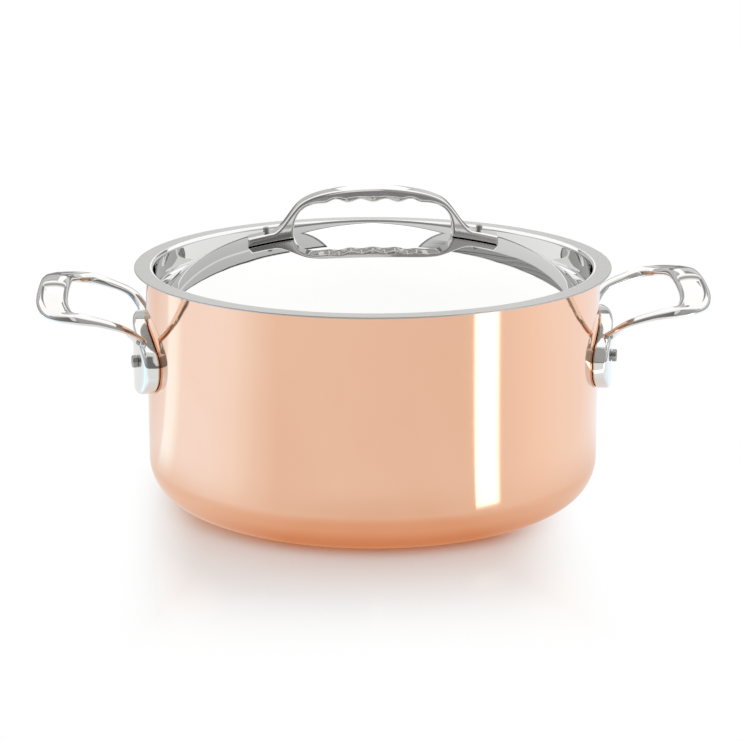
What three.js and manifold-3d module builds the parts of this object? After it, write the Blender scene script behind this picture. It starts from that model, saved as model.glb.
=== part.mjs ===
// A covered copper casserole: a pot of steel-lined copper, two cast loop handles and a pressed steel lid.
// Millimetres, +Z up. The pot stands on z = 0, is round about Z, and has its handles on -X and +X.
import * as THREE from 'three';
import { mergeVertices } from 'three/addons/utils/BufferGeometryUtils.js';
import Module from 'manifold-3d';

const wasm = await Module();
wasm.setup();

// Pot: a straight wall with a rounded base corner, copper outside and steel inside
const POT_BORE_RADIUS = 120;
const POT_HEIGHT = 126;
const COPPER_THICKNESS = 1.8;
const STEEL_THICKNESS = 0.2;
const BASE_CORNER_RADIUS = 22;

// Lid: a flange on the rim, a well just inside the bore, and a dome with a rounded shoulder
const LID_THICKNESS = 1;
const LID_RADIUS = 128;
const LID_CLEARANCE = 0.3;
const LID_BEND_RADIUS = 2.2;
const LID_WELL_FILLET = 3;
const LID_RISE = 13;
const DOME_RADIUS = 611;
const SHOULDER_RADIUS = 83;
const SHOULDER_SLOPE = THREE.MathUtils.degToRad(45);

// Lid handle: a bridge along X with outward feet, soft corners and a wavy underside
const BRIDGE_RISE = 28.6;
const BRIDGE_WIDTH = 13;
const BRIDGE_EDGE = 1.4;
const BAR_THICKNESS = 8;
const BAR_FLAT = 18;
const CORNER_REACH = 40;
const CORNER_DROP = 9;
const CORNER_EASE = 5.8;
const LEG_INSIDE = 42.5;
const LEG_INSIDE_DROP = 16;
const HEEL_REACH = 55;
const HEEL_EASE = 5.5;
const FOOT_REACH = 67;
const FOOT_THICKNESS = 4.8;
const WAVE_COUNT = 3;
const WAVE_PITCH = 13.2;
const WAVE_DEPTH = 2;

// Side handles: a shield-shaped pad on the wall, widest at its waist
const PAD_WIDTH = 86;
const PAD_TOP_WIDTH = 62;
const PAD_HEIGHT = 37;
const PAD_WAIST = 14;
const PAD_THICKNESS = 6.4;
const PAD_BELOW_RIM = 27.5;

// Loop of the side handles: two splayed arms that rise from the pad, and a broad arched grip
const ARM_WIDTH = 9;
const ARM_HEIGHT = 5.6;
const GRIP_WIDTH = 16.5;
const GRIP_HEIGHT = 6.4;

// Middle line of the loop: out from the pot's outside, aside from the handle's middle, and below the rim
const ROOT_ASIDE = 33;
const ROOT_BELOW = 31.4;
const KNEE_OUT = 10;
const KNEE_ASIDE = 38.5;
const KNEE_BELOW = 24;
const ELBOW_OUT = 22;
const ELBOW_ASIDE = 44.8;
const ELBOW_BELOW = 18;
const WRIST_OUT = 33.5;
const WRIST_ASIDE = 50;
const WRIST_BELOW = 16.2;
const TURN_OUT = 42.5;
const TURN_ASIDE = 46;
const TURN_BELOW = 14.8;
const GRIP_END_OUT = 47.5;
const GRIP_END_ASIDE = 33;
const GRIP_END_BELOW = 11.4;
const GRIP_OUT = 48.5;
const GRIP_BELOW = 6.8;

// Share of the way from a root to the middle where the section starts to broaden, and where it is full width
const GRIP_START = 0.4;
const GRIP_FULL = 0.8;

// Rivets: the handles' are set square to the wall, the lid's square to the dome
const RIVET_SPACING = 42;
const RIVET_ABOVE_PAD_FOOT = 15.8;
const RIVET_SHANK_RADIUS = 2.2;
const RIVET_HEAD_RADIUS = 3.3;
const RIVET_HEAD_HEIGHT = 2.4;
const RIVET_BUTTON_RADIUS = 4.5;
const RIVET_BUTTON_HEIGHT = 1.6;
const LID_RIVET_REACH = 57;
const LID_RIVET_SHANK_RADIUS = 1.1;
const LID_RIVET_HEAD_RADIUS = 1.7;
const LID_RIVET_HEAD_HEIGHT = 3.4;
const LID_RIVET_BUTTON_RADIUS = 2.6;
const LID_RIVET_BUTTON_HEIGHT = 1.2;
const HEAD_CHAMFER = 0.7;

// Gap left between two pieces that are seated on each other
const SEAT_GAP = 0.3;

// Facets round the pot and lid, round a rivet, round an arm, along the loop, and along a bend
const ROUND_STEPS = 64;
const RIVET_STEPS = 20;
const ARM_SIDES = 12;
const LOOP_STEPS = 48;
const BEND_STEPS = 6;
const BUTTON_STEPS = 3;

// Polish: roughness of the copper, of the lid, of the castings, and of the lining and rivets
const COPPER_ROUGHNESS = 0.12;
const LID_ROUGHNESS = 0.1;
const CASTING_ROUGHNESS = 0.15;
const SATIN_ROUGHNESS = 0.28;
const COPPER_COLOR = 0xe2a98a;
const STEEL_COLOR = 0xd4d4d0;
const CASTING_COLOR = 0xcfcfca;
const RIVET_COLOR = 0xc4c4bc;

const POT_RADIUS = POT_BORE_RADIUS + STEEL_THICKNESS + COPPER_THICKNESS;
const PAD_FACE_RADIUS = POT_RADIUS + SEAT_GAP + PAD_THICKNESS;
const LID_TOP = LID_THICKNESS + LID_RISE;

// A closed solid from a geometry whose shared corners are merged
function toSolid(geometry) {
  const bare = geometry.clone();
  bare.deleteAttribute('normal');
  bare.deleteAttribute('uv');
  const merged = mergeVertices(bare, 1e-4);
  const triangles = [];
  const index = merged.index.array;
  for (let i = 0; i < index.length; i += 3) {
    const [a, b, c] = [index[i], index[i + 1], index[i + 2]];
    if (a !== b && b !== c && c !== a) triangles.push(a, b, c);
  }
  const mesh = new wasm.Mesh({
    numProp: 3,
    vertProperties: new Float32Array(merged.attributes.position.array),
    triVerts: new Uint32Array(triangles),
  });
  return new wasm.Manifold(mesh);
}

function toGeometry(solid) {
  const mesh = solid.getMesh();
  const geometry = new THREE.BufferGeometry();
  geometry.setAttribute('position', new THREE.BufferAttribute(mesh.vertProperties, 3));
  geometry.setIndex(new THREE.BufferAttribute(mesh.triVerts, 1));
  geometry.computeVertexNormals();
  return geometry;
}

// Points of an arc in the radius and height plane, with angles counted from the outward direction
function arc(centreRadius, centreHeight, radius, start, end) {
  const points = [];
  for (let i = 0; i <= BEND_STEPS; i++) {
    const angle = THREE.MathUtils.lerp(start, end, i / BEND_STEPS);
    points.push(new THREE.Vector2(
      centreRadius + radius * Math.cos(angle),
      centreHeight + radius * Math.sin(angle),
    ));
  }
  return points;
}

// A turned body about Z from its outline in the radius and height plane, drawn anticlockwise
function turned(outline, steps) {
  const geometry = new THREE.LatheGeometry(outline, steps);
  geometry.rotateX(Math.PI / 2);
  return geometry;
}

// One face of the pot, from its axis to its rim, at a depth in from the outside
function potFace(depth) {
  const radius = POT_RADIUS - depth;
  const corner = BASE_CORNER_RADIUS - depth;
  return [
    new THREE.Vector2(0, depth),
    ...arc(radius - corner, depth + corner, corner, -Math.PI / 2, 0),
    new THREE.Vector2(radius, POT_HEIGHT),
  ];
}

function potLayer(outerDepth, innerDepth) {
  return turned([...potFace(outerDepth), ...potFace(innerDepth).reverse()], ROUND_STEPS);
}

// The lid's upper face, with heights counted from the rim: where its dome ends and its shoulder starts,
// and the middles of its shoulder and of its well's fillet
const WELL_WALL_RADIUS = POT_BORE_RADIUS - LID_CLEARANCE - LID_BEND_RADIUS;
const WELL_CENTRE_RADIUS = WELL_WALL_RADIUS - LID_WELL_FILLET;
const DOME_ANGLE = Math.asin(
  (WELL_CENTRE_RADIUS - (SHOULDER_RADIUS + LID_WELL_FILLET) * Math.sin(SHOULDER_SLOPE))
  / (DOME_RADIUS - SHOULDER_RADIUS),
);
const DOME_EDGE_RADIUS = DOME_RADIUS * Math.sin(DOME_ANGLE);
const SHOULDER_CENTRE_RADIUS = (DOME_RADIUS - SHOULDER_RADIUS) * Math.sin(DOME_ANGLE);
const SHOULDER_CENTRE_HEIGHT = LID_TOP - DOME_RADIUS
  + (DOME_RADIUS - SHOULDER_RADIUS) * Math.cos(DOME_ANGLE);
const WELL_CENTRE_HEIGHT = SHOULDER_CENTRE_HEIGHT
  + (SHOULDER_RADIUS + LID_WELL_FILLET) * Math.cos(SHOULDER_SLOPE);

function lidHeight(radius) {
  if (radius < DOME_EDGE_RADIUS) return LID_TOP - DOME_RADIUS + Math.sqrt(DOME_RADIUS ** 2 - radius ** 2);
  return SHOULDER_CENTRE_HEIGHT + Math.sqrt(SHOULDER_RADIUS ** 2 - (radius - SHOULDER_CENTRE_RADIUS) ** 2);
}

function lidSlope(radius) {
  if (radius < DOME_EDGE_RADIUS) return Math.asin(radius / DOME_RADIUS);
  return Math.asin((radius - SHOULDER_CENTRE_RADIUS) / SHOULDER_RADIUS);
}

// One face of the lid, from its axis to its outer edge, at a depth below the upper face
function lidFace(depth) {
  const up = Math.PI / 2;
  const bendRadius = LID_BEND_RADIUS - depth;
  const bendCentre = WELL_WALL_RADIUS + LID_BEND_RADIUS;
  return [
    ...arc(0, LID_TOP - DOME_RADIUS, DOME_RADIUS - depth, up, up - DOME_ANGLE),
    ...arc(SHOULDER_CENTRE_RADIUS, SHOULDER_CENTRE_HEIGHT, SHOULDER_RADIUS - depth,
      up - DOME_ANGLE, up - SHOULDER_SLOPE).slice(1),
    ...arc(WELL_CENTRE_RADIUS, WELL_CENTRE_HEIGHT, LID_WELL_FILLET + depth,
      -up - SHOULDER_SLOPE, 0).slice(1),
    ...arc(bendCentre, LID_THICKNESS - LID_BEND_RADIUS, bendRadius, Math.PI, up),
    new THREE.Vector2(LID_RADIUS, LID_THICKNESS - depth),
  ];
}

function lidSheet() {
  return turned([...lidFace(LID_THICKNESS), ...lidFace(0).reverse()], ROUND_STEPS);
}

// A rivet along +Z: a shank through a stack that starts at z = 0, a domed button below it and a head above it
function rivet(shank, stack, head, headHeight, button, buttonHeight) {
  const outline = [];
  for (let i = 0; i <= BUTTON_STEPS; i++) {
    const angle = i / BUTTON_STEPS * Math.PI / 2;
    outline.push(new THREE.Vector2(button * Math.sin(angle), -buttonHeight * Math.cos(angle)));
  }
  const top = stack + headHeight;
  outline.push(
    new THREE.Vector2(shank, 0),
    new THREE.Vector2(shank, stack),
    new THREE.Vector2(head, stack),
    new THREE.Vector2(head, top - HEAD_CHAMFER),
    new THREE.Vector2(head - HEAD_CHAMFER, top),
    new THREE.Vector2(0, top),
  );
  return turned(outline, RIVET_STEPS);
}

function drill(radius, length) {
  const geometry = new THREE.CylinderGeometry(radius, radius, length, RIVET_STEPS);
  geometry.rotateX(Math.PI / 2);
  return geometry;
}

// Places of the handle's rivets: the drill's frame has +Z pointing out of the wall
const RIVET_HEIGHT = POT_HEIGHT - PAD_BELOW_RIM - PAD_HEIGHT + RIVET_ABOVE_PAD_FOOT;
const RIVET_ANGLE = RIVET_SPACING / 2 / PAD_FACE_RADIUS;

function wallPlace(side, turn) {
  const outward = side * RIVET_ANGLE + turn;
  const spin = new THREE.Matrix4().makeRotationZ(outward);
  const lean = new THREE.Matrix4().makeRotationY(Math.PI / 2);
  return new THREE.Matrix4().makeTranslation(0, 0, RIVET_HEIGHT).multiply(spin).multiply(lean);
}

function drillWall(solid, turn) {
  let drilled = solid;
  for (const side of [-1, 1]) {
    const hole = drill(RIVET_SHANK_RADIUS + SEAT_GAP, 2 * PAD_FACE_RADIUS);
    hole.translate(0, 0, PAD_FACE_RADIUS);
    hole.applyMatrix4(wallPlace(side, turn));
    drilled = drilled.subtract(toSolid(hole));
  }
  return drilled;
}

const LID_RIVET_LEAN = lidSlope(LID_RIVET_REACH);
const LID_RIVET_FOOT = lidHeight(LID_RIVET_REACH);

// A lid rivet's frame, with its origin on the lid's upper face and +Z square to the dome
function domePlace(side) {
  const lean = new THREE.Matrix4().makeRotationY(side * LID_RIVET_LEAN);
  return new THREE.Matrix4().makeTranslation(side * LID_RIVET_REACH, 0, LID_RIVET_FOOT).multiply(lean);
}

function drillDome(solid) {
  let drilled = solid;
  for (const side of [-1, 1]) {
    const hole = drill(LID_RIVET_SHANK_RADIUS + SEAT_GAP, 4 * (LID_THICKNESS + FOOT_THICKNESS));
    hole.applyMatrix4(domePlace(side));
    drilled = drilled.subtract(toSolid(hole));
  }
  return drilled;
}

// The pad: a shield outline cut from a ring that follows the wall
function pad() {
  const top = POT_HEIGHT - PAD_BELOW_RIM;
  const waist = top - PAD_HEIGHT + PAD_WAIST;
  const side = PAD_WIDTH / 2;
  const corner = PAD_TOP_WIDTH / 2;
  const shoulder = (top + waist) / 2;
  const shield = new THREE.Shape();
  shield.moveTo(-side, waist);
  shield.absellipse(0, waist, side, PAD_WAIST, Math.PI, 2 * Math.PI);
  shield.quadraticCurveTo(side, shoulder, corner, top);
  shield.lineTo(-corner, top);
  shield.quadraticCurveTo(-side, shoulder, -side, waist);
  const block = new THREE.ExtrudeGeometry(shield, {
    depth: PAD_FACE_RADIUS, bevelEnabled: false, curveSegments: BEND_STEPS,
  });
  const upright = new THREE.Matrix4().makeBasis(
    new THREE.Vector3(0, 1, 0), new THREE.Vector3(0, 0, 1), new THREE.Vector3(1, 0, 0),
  );
  block.applyMatrix4(upright);
  return toSolid(block).intersect(ring(PAD_FACE_RADIUS)).subtract(ring(POT_RADIUS + SEAT_GAP));
}

// A plug of the pot's full height, for trimming to the wall
function ring(radius) {
  const outline = [
    new THREE.Vector2(0, 0),
    new THREE.Vector2(radius, 0),
    new THREE.Vector2(radius, POT_HEIGHT),
    new THREE.Vector2(0, POT_HEIGHT),
  ];
  return toSolid(turned(outline, ROUND_STEPS));
}

// A point of the loop's middle line
function station(out, aside, below) {
  return new THREE.Vector3(POT_RADIUS + out, aside, POT_HEIGHT - below);
}

// The loop's middle line, from one root in the pad round the grip to the other
function loopPath() {
  const padMiddle = POT_RADIUS + SEAT_GAP + PAD_THICKNESS / 2;
  const rootOut = Math.sqrt(padMiddle ** 2 - ROOT_ASIDE ** 2) - POT_RADIUS;
  const half = [
    station(rootOut, ROOT_ASIDE, ROOT_BELOW),
    station(KNEE_OUT, KNEE_ASIDE, KNEE_BELOW),
    station(ELBOW_OUT, ELBOW_ASIDE, ELBOW_BELOW),
    station(WRIST_OUT, WRIST_ASIDE, WRIST_BELOW),
    station(TURN_OUT, TURN_ASIDE, TURN_BELOW),
    station(GRIP_END_OUT, GRIP_END_ASIDE, GRIP_END_BELOW),
  ];
  const mirrored = half.map((point) => new THREE.Vector3(point.x, -point.y, point.z)).reverse();
  const middle = station(GRIP_OUT, 0, GRIP_BELOW);
  return new THREE.CatmullRomCurve3([...half, middle, ...mirrored], false, 'centripetal');
}

// The loop: an oval section that is narrow along the arms and broad along the grip
function loop() {
  const path = loopPath();
  const positions = [];
  const triangles = [];
  for (let i = 0; i <= LOOP_STEPS; i++) {
    const centre = path.getPointAt(i / LOOP_STEPS);
    const along = path.getTangentAt(i / LOOP_STEPS);
    const across = new THREE.Vector3(along.y, -along.x, 0).normalize();
    const up = new THREE.Vector3().crossVectors(across, along);
    const way = 1 - Math.abs(2 * i / LOOP_STEPS - 1);
    const grip = THREE.MathUtils.smoothstep(way, GRIP_START, GRIP_FULL);
    const halfWidth = THREE.MathUtils.lerp(ARM_WIDTH, GRIP_WIDTH, grip) / 2;
    const halfHeight = THREE.MathUtils.lerp(ARM_HEIGHT, GRIP_HEIGHT, grip) / 2;
    for (let j = 0; j < ARM_SIDES; j++) {
      const angle = j / ARM_SIDES * 2 * Math.PI;
      const point = centre.clone()
        .addScaledVector(across, halfWidth * Math.cos(angle))
        .addScaledVector(up, halfHeight * Math.sin(angle));
      positions.push(point.x, point.y, point.z);
    }
  }
  for (let i = 0; i < LOOP_STEPS; i++) {
    for (let j = 0; j < ARM_SIDES; j++) {
      const next = (j + 1) % ARM_SIDES;
      const [a, b] = [i * ARM_SIDES + j, i * ARM_SIDES + next];
      const [c, d] = [a + ARM_SIDES, b + ARM_SIDES];
      triangles.push(a, c, b, b, c, d);
    }
  }
  const last = LOOP_STEPS * ARM_SIDES;
  for (let j = 1; j < ARM_SIDES - 1; j++) {
    triangles.push(0, j, j + 1, last, last + j + 1, last + j);
  }
  const geometry = new THREE.BufferGeometry();
  geometry.setAttribute('position', new THREE.Float32BufferAttribute(positions, 3));
  geometry.setIndex(triangles);
  return toSolid(geometry);
}

// The casting on +X: its pad and loop in one, clear of the wall and drilled for its rivets
function sideHandle() {
  const casting = pad().add(loop()).subtract(ring(POT_RADIUS + SEAT_GAP));
  return toGeometry(drillWall(casting, 0));
}

// The bridge's outline from the side, in the plane of the rim
function bridgeOutline() {
  const top = LID_TOP + BRIDGE_RISE;
  const under = top - BAR_THICKNESS;
  const corner = top - CORNER_DROP;
  const heel = lidHeight(HEEL_REACH) + FOOT_THICKNESS;
  const toe = lidHeight(FOOT_REACH) + FOOT_THICKNESS;
  const wavy = WAVE_COUNT * WAVE_PITCH / 2;
  const plain = wavy + WAVE_PITCH / 2;
  const outline = new THREE.Shape();
  outline.moveTo(FOOT_REACH, 0);
  outline.lineTo(FOOT_REACH, toe);
  outline.lineTo(HEEL_REACH, heel);
  outline.bezierCurveTo(HEEL_REACH - HEEL_EASE, heel, CORNER_REACH + CORNER_EASE, corner - CORNER_EASE,
    CORNER_REACH, corner);
  outline.bezierCurveTo(CORNER_REACH - CORNER_EASE, corner + CORNER_EASE, BAR_FLAT, top, 0, top);
  outline.bezierCurveTo(-BAR_FLAT, top, CORNER_EASE - CORNER_REACH, corner + CORNER_EASE,
    -CORNER_REACH, corner);
  outline.bezierCurveTo(-CORNER_REACH - CORNER_EASE, corner - CORNER_EASE, HEEL_EASE - HEEL_REACH, heel,
    -HEEL_REACH, heel);
  outline.lineTo(-FOOT_REACH, toe);
  outline.lineTo(-FOOT_REACH, 0);
  outline.lineTo(-LEG_INSIDE, 0);
  outline.lineTo(-LEG_INSIDE, under - LEG_INSIDE_DROP);
  outline.quadraticCurveTo(-LEG_INSIDE, under, -plain, under);
  for (let i = 0; i <= WAVE_COUNT * BEND_STEPS; i++) {
    const along = i / BEND_STEPS;
    const hollow = WAVE_DEPTH * (1 + Math.cos(2 * Math.PI * along)) / 2;
    outline.lineTo(along * WAVE_PITCH - wavy, under + hollow);
  }
  outline.lineTo(plain, under);
  outline.quadraticCurveTo(LEG_INSIDE, under, LEG_INSIDE, under - LEG_INSIDE_DROP);
  outline.lineTo(LEG_INSIDE, 0);
  outline.closePath();
  return outline;
}

// The bridge: its outline with rounded edges, with its feet trimmed to the dome
function bridge() {
  const block = new THREE.ExtrudeGeometry(bridgeOutline(), {
    depth: BRIDGE_WIDTH - 2 * BRIDGE_EDGE,
    bevelThickness: BRIDGE_EDGE,
    bevelSize: BRIDGE_EDGE,
    bevelOffset: -BRIDGE_EDGE,
    bevelSegments: 2,
    curveSegments: BEND_STEPS,
  });
  block.translate(0, 0, BRIDGE_EDGE - BRIDGE_WIDTH / 2);
  block.rotateX(Math.PI / 2);
  const below = -LID_RADIUS;
  const underDome = [
    new THREE.Vector2(0, below),
    new THREE.Vector2(WELL_CENTRE_RADIUS, below),
    ...lidFace(-SEAT_GAP).filter((point) => point.x < WELL_CENTRE_RADIUS && point.y > 0).reverse(),
  ];
  const casting = toSolid(block).subtract(toSolid(turned(underDome, ROUND_STEPS)));
  return toGeometry(drillDome(casting));
}

function metal(color, roughness) {
  return new THREE.MeshStandardMaterial({ color, roughness, metalness: 1 });
}

function piece(name, geometry, material) {
  const mesh = new THREE.Mesh(geometry, material);
  mesh.name = name;
  return mesh;
}

const casserole = new THREE.Group();
const lidGroup = new THREE.Group();
lidGroup.position.z = POT_HEIGHT;
casserole.add(lidGroup);

// Pot layers, each drilled for all four rivets
const layers = {
  copper_shell: [0, COPPER_THICKNESS, metal(COPPER_COLOR, COPPER_ROUGHNESS)],
  steel_lining: [COPPER_THICKNESS, COPPER_THICKNESS + STEEL_THICKNESS, metal(STEEL_COLOR, SATIN_ROUGHNESS)],
};
for (const [name, [outerDepth, innerDepth, material]] of Object.entries(layers)) {
  const layer = drillWall(drillWall(toSolid(potLayer(outerDepth, innerDepth)), 0), Math.PI);
  casserole.add(piece(name, toGeometry(layer), material));
}

// Handles with two rivets each, the left one turned half round
const wallStack = PAD_FACE_RADIUS - POT_BORE_RADIUS + 3 * SEAT_GAP;
const sides = {
  left: { turn: Math.PI, ends: { front: 1, rear: -1 } },
  right: { turn: 0, ends: { front: -1, rear: 1 } },
};
for (const [side, { turn, ends }] of Object.entries(sides)) {
  const handle = piece(`${side}_handle`, sideHandle(), metal(CASTING_COLOR, CASTING_ROUGHNESS));
  handle.rotation.z = turn;
  casserole.add(handle);
  for (const [end, direction] of Object.entries(ends)) {
    const body = rivet(RIVET_SHANK_RADIUS, wallStack, RIVET_HEAD_RADIUS, RIVET_HEAD_HEIGHT,
      RIVET_BUTTON_RADIUS, RIVET_BUTTON_HEIGHT);
    body.translate(0, 0, POT_BORE_RADIUS - 2 * SEAT_GAP);
    body.applyMatrix4(wallPlace(direction, turn));
    casserole.add(piece(`${side}_${end}_rivet`, body, metal(RIVET_COLOR, SATIN_ROUGHNESS)));
  }
}

// Lid with its handle and one rivet through each foot
lidGroup.add(piece('lid', toGeometry(drillDome(toSolid(lidSheet()))), metal(STEEL_COLOR, LID_ROUGHNESS)));
lidGroup.add(piece('lid_handle', bridge(), metal(CASTING_COLOR, CASTING_ROUGHNESS)));
const lidStack = LID_THICKNESS + FOOT_THICKNESS + 3 * SEAT_GAP;
for (const [side, direction] of Object.entries({ left: -1, right: 1 })) {
  const body = rivet(LID_RIVET_SHANK_RADIUS, lidStack, LID_RIVET_HEAD_RADIUS, LID_RIVET_HEAD_HEIGHT,
    LID_RIVET_BUTTON_RADIUS, LID_RIVET_BUTTON_HEIGHT);
  body.translate(0, 0, -LID_THICKNESS - SEAT_GAP);
  body.applyMatrix4(domePlace(direction));
  lidGroup.add(piece(`lid_${side}_rivet`, body, metal(RIVET_COLOR, SATIN_ROUGHNESS)));
}

export default casserole;
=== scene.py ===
# A covered copper casserole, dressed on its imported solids. Metres, +Z up, handles on -X and +X.
import math

import bmesh
import bpy
from mathutils import Matrix, Vector
from mathutils.geometry import interpolate_bezier
from mathutils.kdtree import KDTree


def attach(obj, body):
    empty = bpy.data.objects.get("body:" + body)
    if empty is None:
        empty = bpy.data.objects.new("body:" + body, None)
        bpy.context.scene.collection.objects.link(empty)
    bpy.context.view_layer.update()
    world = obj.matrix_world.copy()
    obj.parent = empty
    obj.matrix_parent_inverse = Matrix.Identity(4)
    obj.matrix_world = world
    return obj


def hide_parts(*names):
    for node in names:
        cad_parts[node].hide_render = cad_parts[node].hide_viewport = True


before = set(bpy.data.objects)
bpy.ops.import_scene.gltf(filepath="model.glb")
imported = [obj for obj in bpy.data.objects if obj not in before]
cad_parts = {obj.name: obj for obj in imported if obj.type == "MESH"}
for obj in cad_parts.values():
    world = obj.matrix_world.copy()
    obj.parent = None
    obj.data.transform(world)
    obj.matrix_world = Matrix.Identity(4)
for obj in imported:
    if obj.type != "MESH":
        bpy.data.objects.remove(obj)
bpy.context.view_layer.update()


# Copper shell: the outside of the pot, drawn from 1.8 mm sheet to a straight wall with a rounded base
# corner. It is turned against polishing wheels, which leave faint rings, and its rim is cut straight.
pot_radius = 0.122
pot_height = 0.126
copper_thickness = 0.0018
base_corner = 0.022
rim_ease = 0.0004
flat_start = 0.0003
behind_pads = [0.056, 0.104]
floor_shares = (0, 0.25, 0.5, 0.7)
corner_steps = 28
round_steps = 224
rim_steps = 4
weld_gap = 0.000005
copper_colour = (0.89, 0.545, 0.38, 1)
worn_copper = (0.865, 0.51, 0.345, 1)


def bend(centre_radius, centre_height, radius, start, end, steps):
    """Points along a bend of an outline, as radius and height, with degrees counted from outward."""
    points = []
    for i in range(steps + 1):
        angle = math.radians(start + (end - start) * i / steps)
        points.append((centre_radius + radius * math.cos(angle), centre_height + radius * math.sin(angle)))
    return points


def turned(outline, steps):
    """A body turned about Z. Its outline closes on itself, unless it starts and ends on the axis."""
    bm = bmesh.new()
    points = [bm.verts.new((radius, 0, height)) for radius, height in outline]
    pairs = list(zip(points, points[1:]))
    if outline[0][0] > 0:
        pairs.append((points[-1], points[0]))
    edges = [bm.edges.new(pair) for pair in pairs]
    bmesh.ops.spin(bm, geom=points + edges, cent=(0, 0, 0), axis=(0, 0, 1), angle=math.tau, steps=steps)
    bmesh.ops.remove_doubles(bm, verts=bm.verts, dist=weld_gap)
    return bm


def show(name, bm, crease=40):
    """An object from a mesh in the making, smooth apart from edges sharper than the crease."""
    bmesh.ops.recalc_face_normals(bm, faces=bm.faces)
    mesh = bpy.data.meshes.new(name)
    bm.to_mesh(mesh)
    bm.free()
    mesh.shade_smooth()
    mesh.set_sharp_from_angle(angle=math.radians(crease))
    piece = bpy.data.objects.new(name, mesh)
    bpy.context.scene.collection.objects.link(piece)
    return piece


def reshape(piece, tool, operation, crease=40):
    """Cuts a tool away from a piece, or joins it on, and uses the tool up."""
    change = piece.modifiers.new("change", "BOOLEAN")
    change.operation = operation
    change.solver = "EXACT"
    change.object = tool
    graph = bpy.context.evaluated_depsgraph_get()
    piece.data = bpy.data.meshes.new_from_object(piece.evaluated_get(graph))
    piece.modifiers.clear()
    piece.data.shade_smooth()
    piece.data.set_sharp_from_angle(angle=math.radians(crease))
    bpy.data.objects.remove(tool)


def place(tree, kind, inputs=None, **settings):
    """A node with its settings, each input given a value or joined to another node's output."""
    node = tree.nodes.new(kind)
    for key, value in settings.items():
        setattr(node, key, value)
    for key, value in (inputs or {}).items():
        if isinstance(value, bpy.types.NodeSocket):
            tree.links.new(value, node.inputs[key])
        else:
            node.inputs[key].default_value = value
    return node


def maths(tree, operation, *values):
    """The result of a maths node."""
    return place(tree, "ShaderNodeMath", dict(enumerate(values)), operation=operation).outputs[0]


def spread(tree, value, low, high, to_low, to_high, kind="LINEAR"):
    """A value mapped from one range to another and held at its ends."""
    sockets = {"Value": value, "From Min": low, "From Max": high, "To Min": to_low, "To Max": to_high}
    return place(tree, "ShaderNodeMapRange", sockets, interpolation_type=kind).outputs["Result"]


def effect(name, inputs, outputs):
    """An empty node group with its sockets, and its input and output nodes."""
    tree = bpy.data.node_groups.new(name, "ShaderNodeTree")
    for label, value in inputs.items():
        tree.interface.new_socket(label, in_out="INPUT", socket_type="NodeSocketFloat").default_value = value
    for label in outputs:
        tree.interface.new_socket(label, in_out="OUTPUT", socket_type="NodeSocketFloat")
    return tree, place(tree, "NodeGroupInput").outputs, place(tree, "NodeGroupOutput").inputs


# Rings of the polishing wheel: fine lines round the axis, closer together where Pitch is higher
wheel_rings, given, sent = effect("wheel rings", {"Pitch": 2500.0, "Break": 6.0}, ["Rings"])
spot = place(wheel_rings, "ShaderNodeTexCoord").outputs["Object"]
axes = place(wheel_rings, "ShaderNodeSeparateXYZ", {0: spot}).outputs
reach = place(wheel_rings, "ShaderNodeVectorMath",
              {0: place(wheel_rings, "ShaderNodeCombineXYZ", {"X": axes["X"], "Y": axes["Y"]}).outputs[0]},
              operation="LENGTH").outputs["Value"]
turn = maths(wheel_rings, "ARCTAN2", axes["Y"], axes["X"])
ring_spot = place(wheel_rings, "ShaderNodeCombineXYZ", {
    "X": maths(wheel_rings, "MULTIPLY", maths(wheel_rings, "ADD", reach, axes["Z"]), given["Pitch"]),
    "Y": maths(wheel_rings, "MULTIPLY", maths(wheel_rings, "COSINE", turn), given["Break"]),
    "Z": maths(wheel_rings, "MULTIPLY", maths(wheel_rings, "SINE", turn), given["Break"])}).outputs[0]
rings = place(wheel_rings, "ShaderNodeTexNoise", {"Vector": ring_spot, "Scale": 1.0, "Detail": 2.0})
wheel_rings.links.new(rings.outputs["Fac"], sent["Rings"])

# Marks of handling: soft cloudy smears, and specks where the polish is duller
smear_levels = (0.35, 0.7)
speck_levels = (0.6, 0.75)
speck_fineness = 40.0
handling, given, sent = effect("handling marks", {"Size": 14.0}, ["Smear", "Speck"])
spot = place(handling, "ShaderNodeTexCoord").outputs["Object"]
smear = place(handling, "ShaderNodeTexNoise",
              {"Vector": spot, "Scale": given["Size"], "Detail": 4.0, "Distortion": 0.6})
speck = place(handling, "ShaderNodeTexNoise",
              {"Vector": spot, "Detail": 2.0,
               "Scale": maths(handling, "MULTIPLY", given["Size"], speck_fineness)})
handling.links.new(spread(handling, smear.outputs["Fac"], *smear_levels, 0.0, 1.0), sent["Smear"])
handling.links.new(spread(handling, speck.outputs["Fac"], *speck_levels, 0.0, 1.0), sent["Speck"])

# A surface is smoothest and dullest at these sums of its smears and rings
uneven_levels = (0.3, 1.7)


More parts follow.
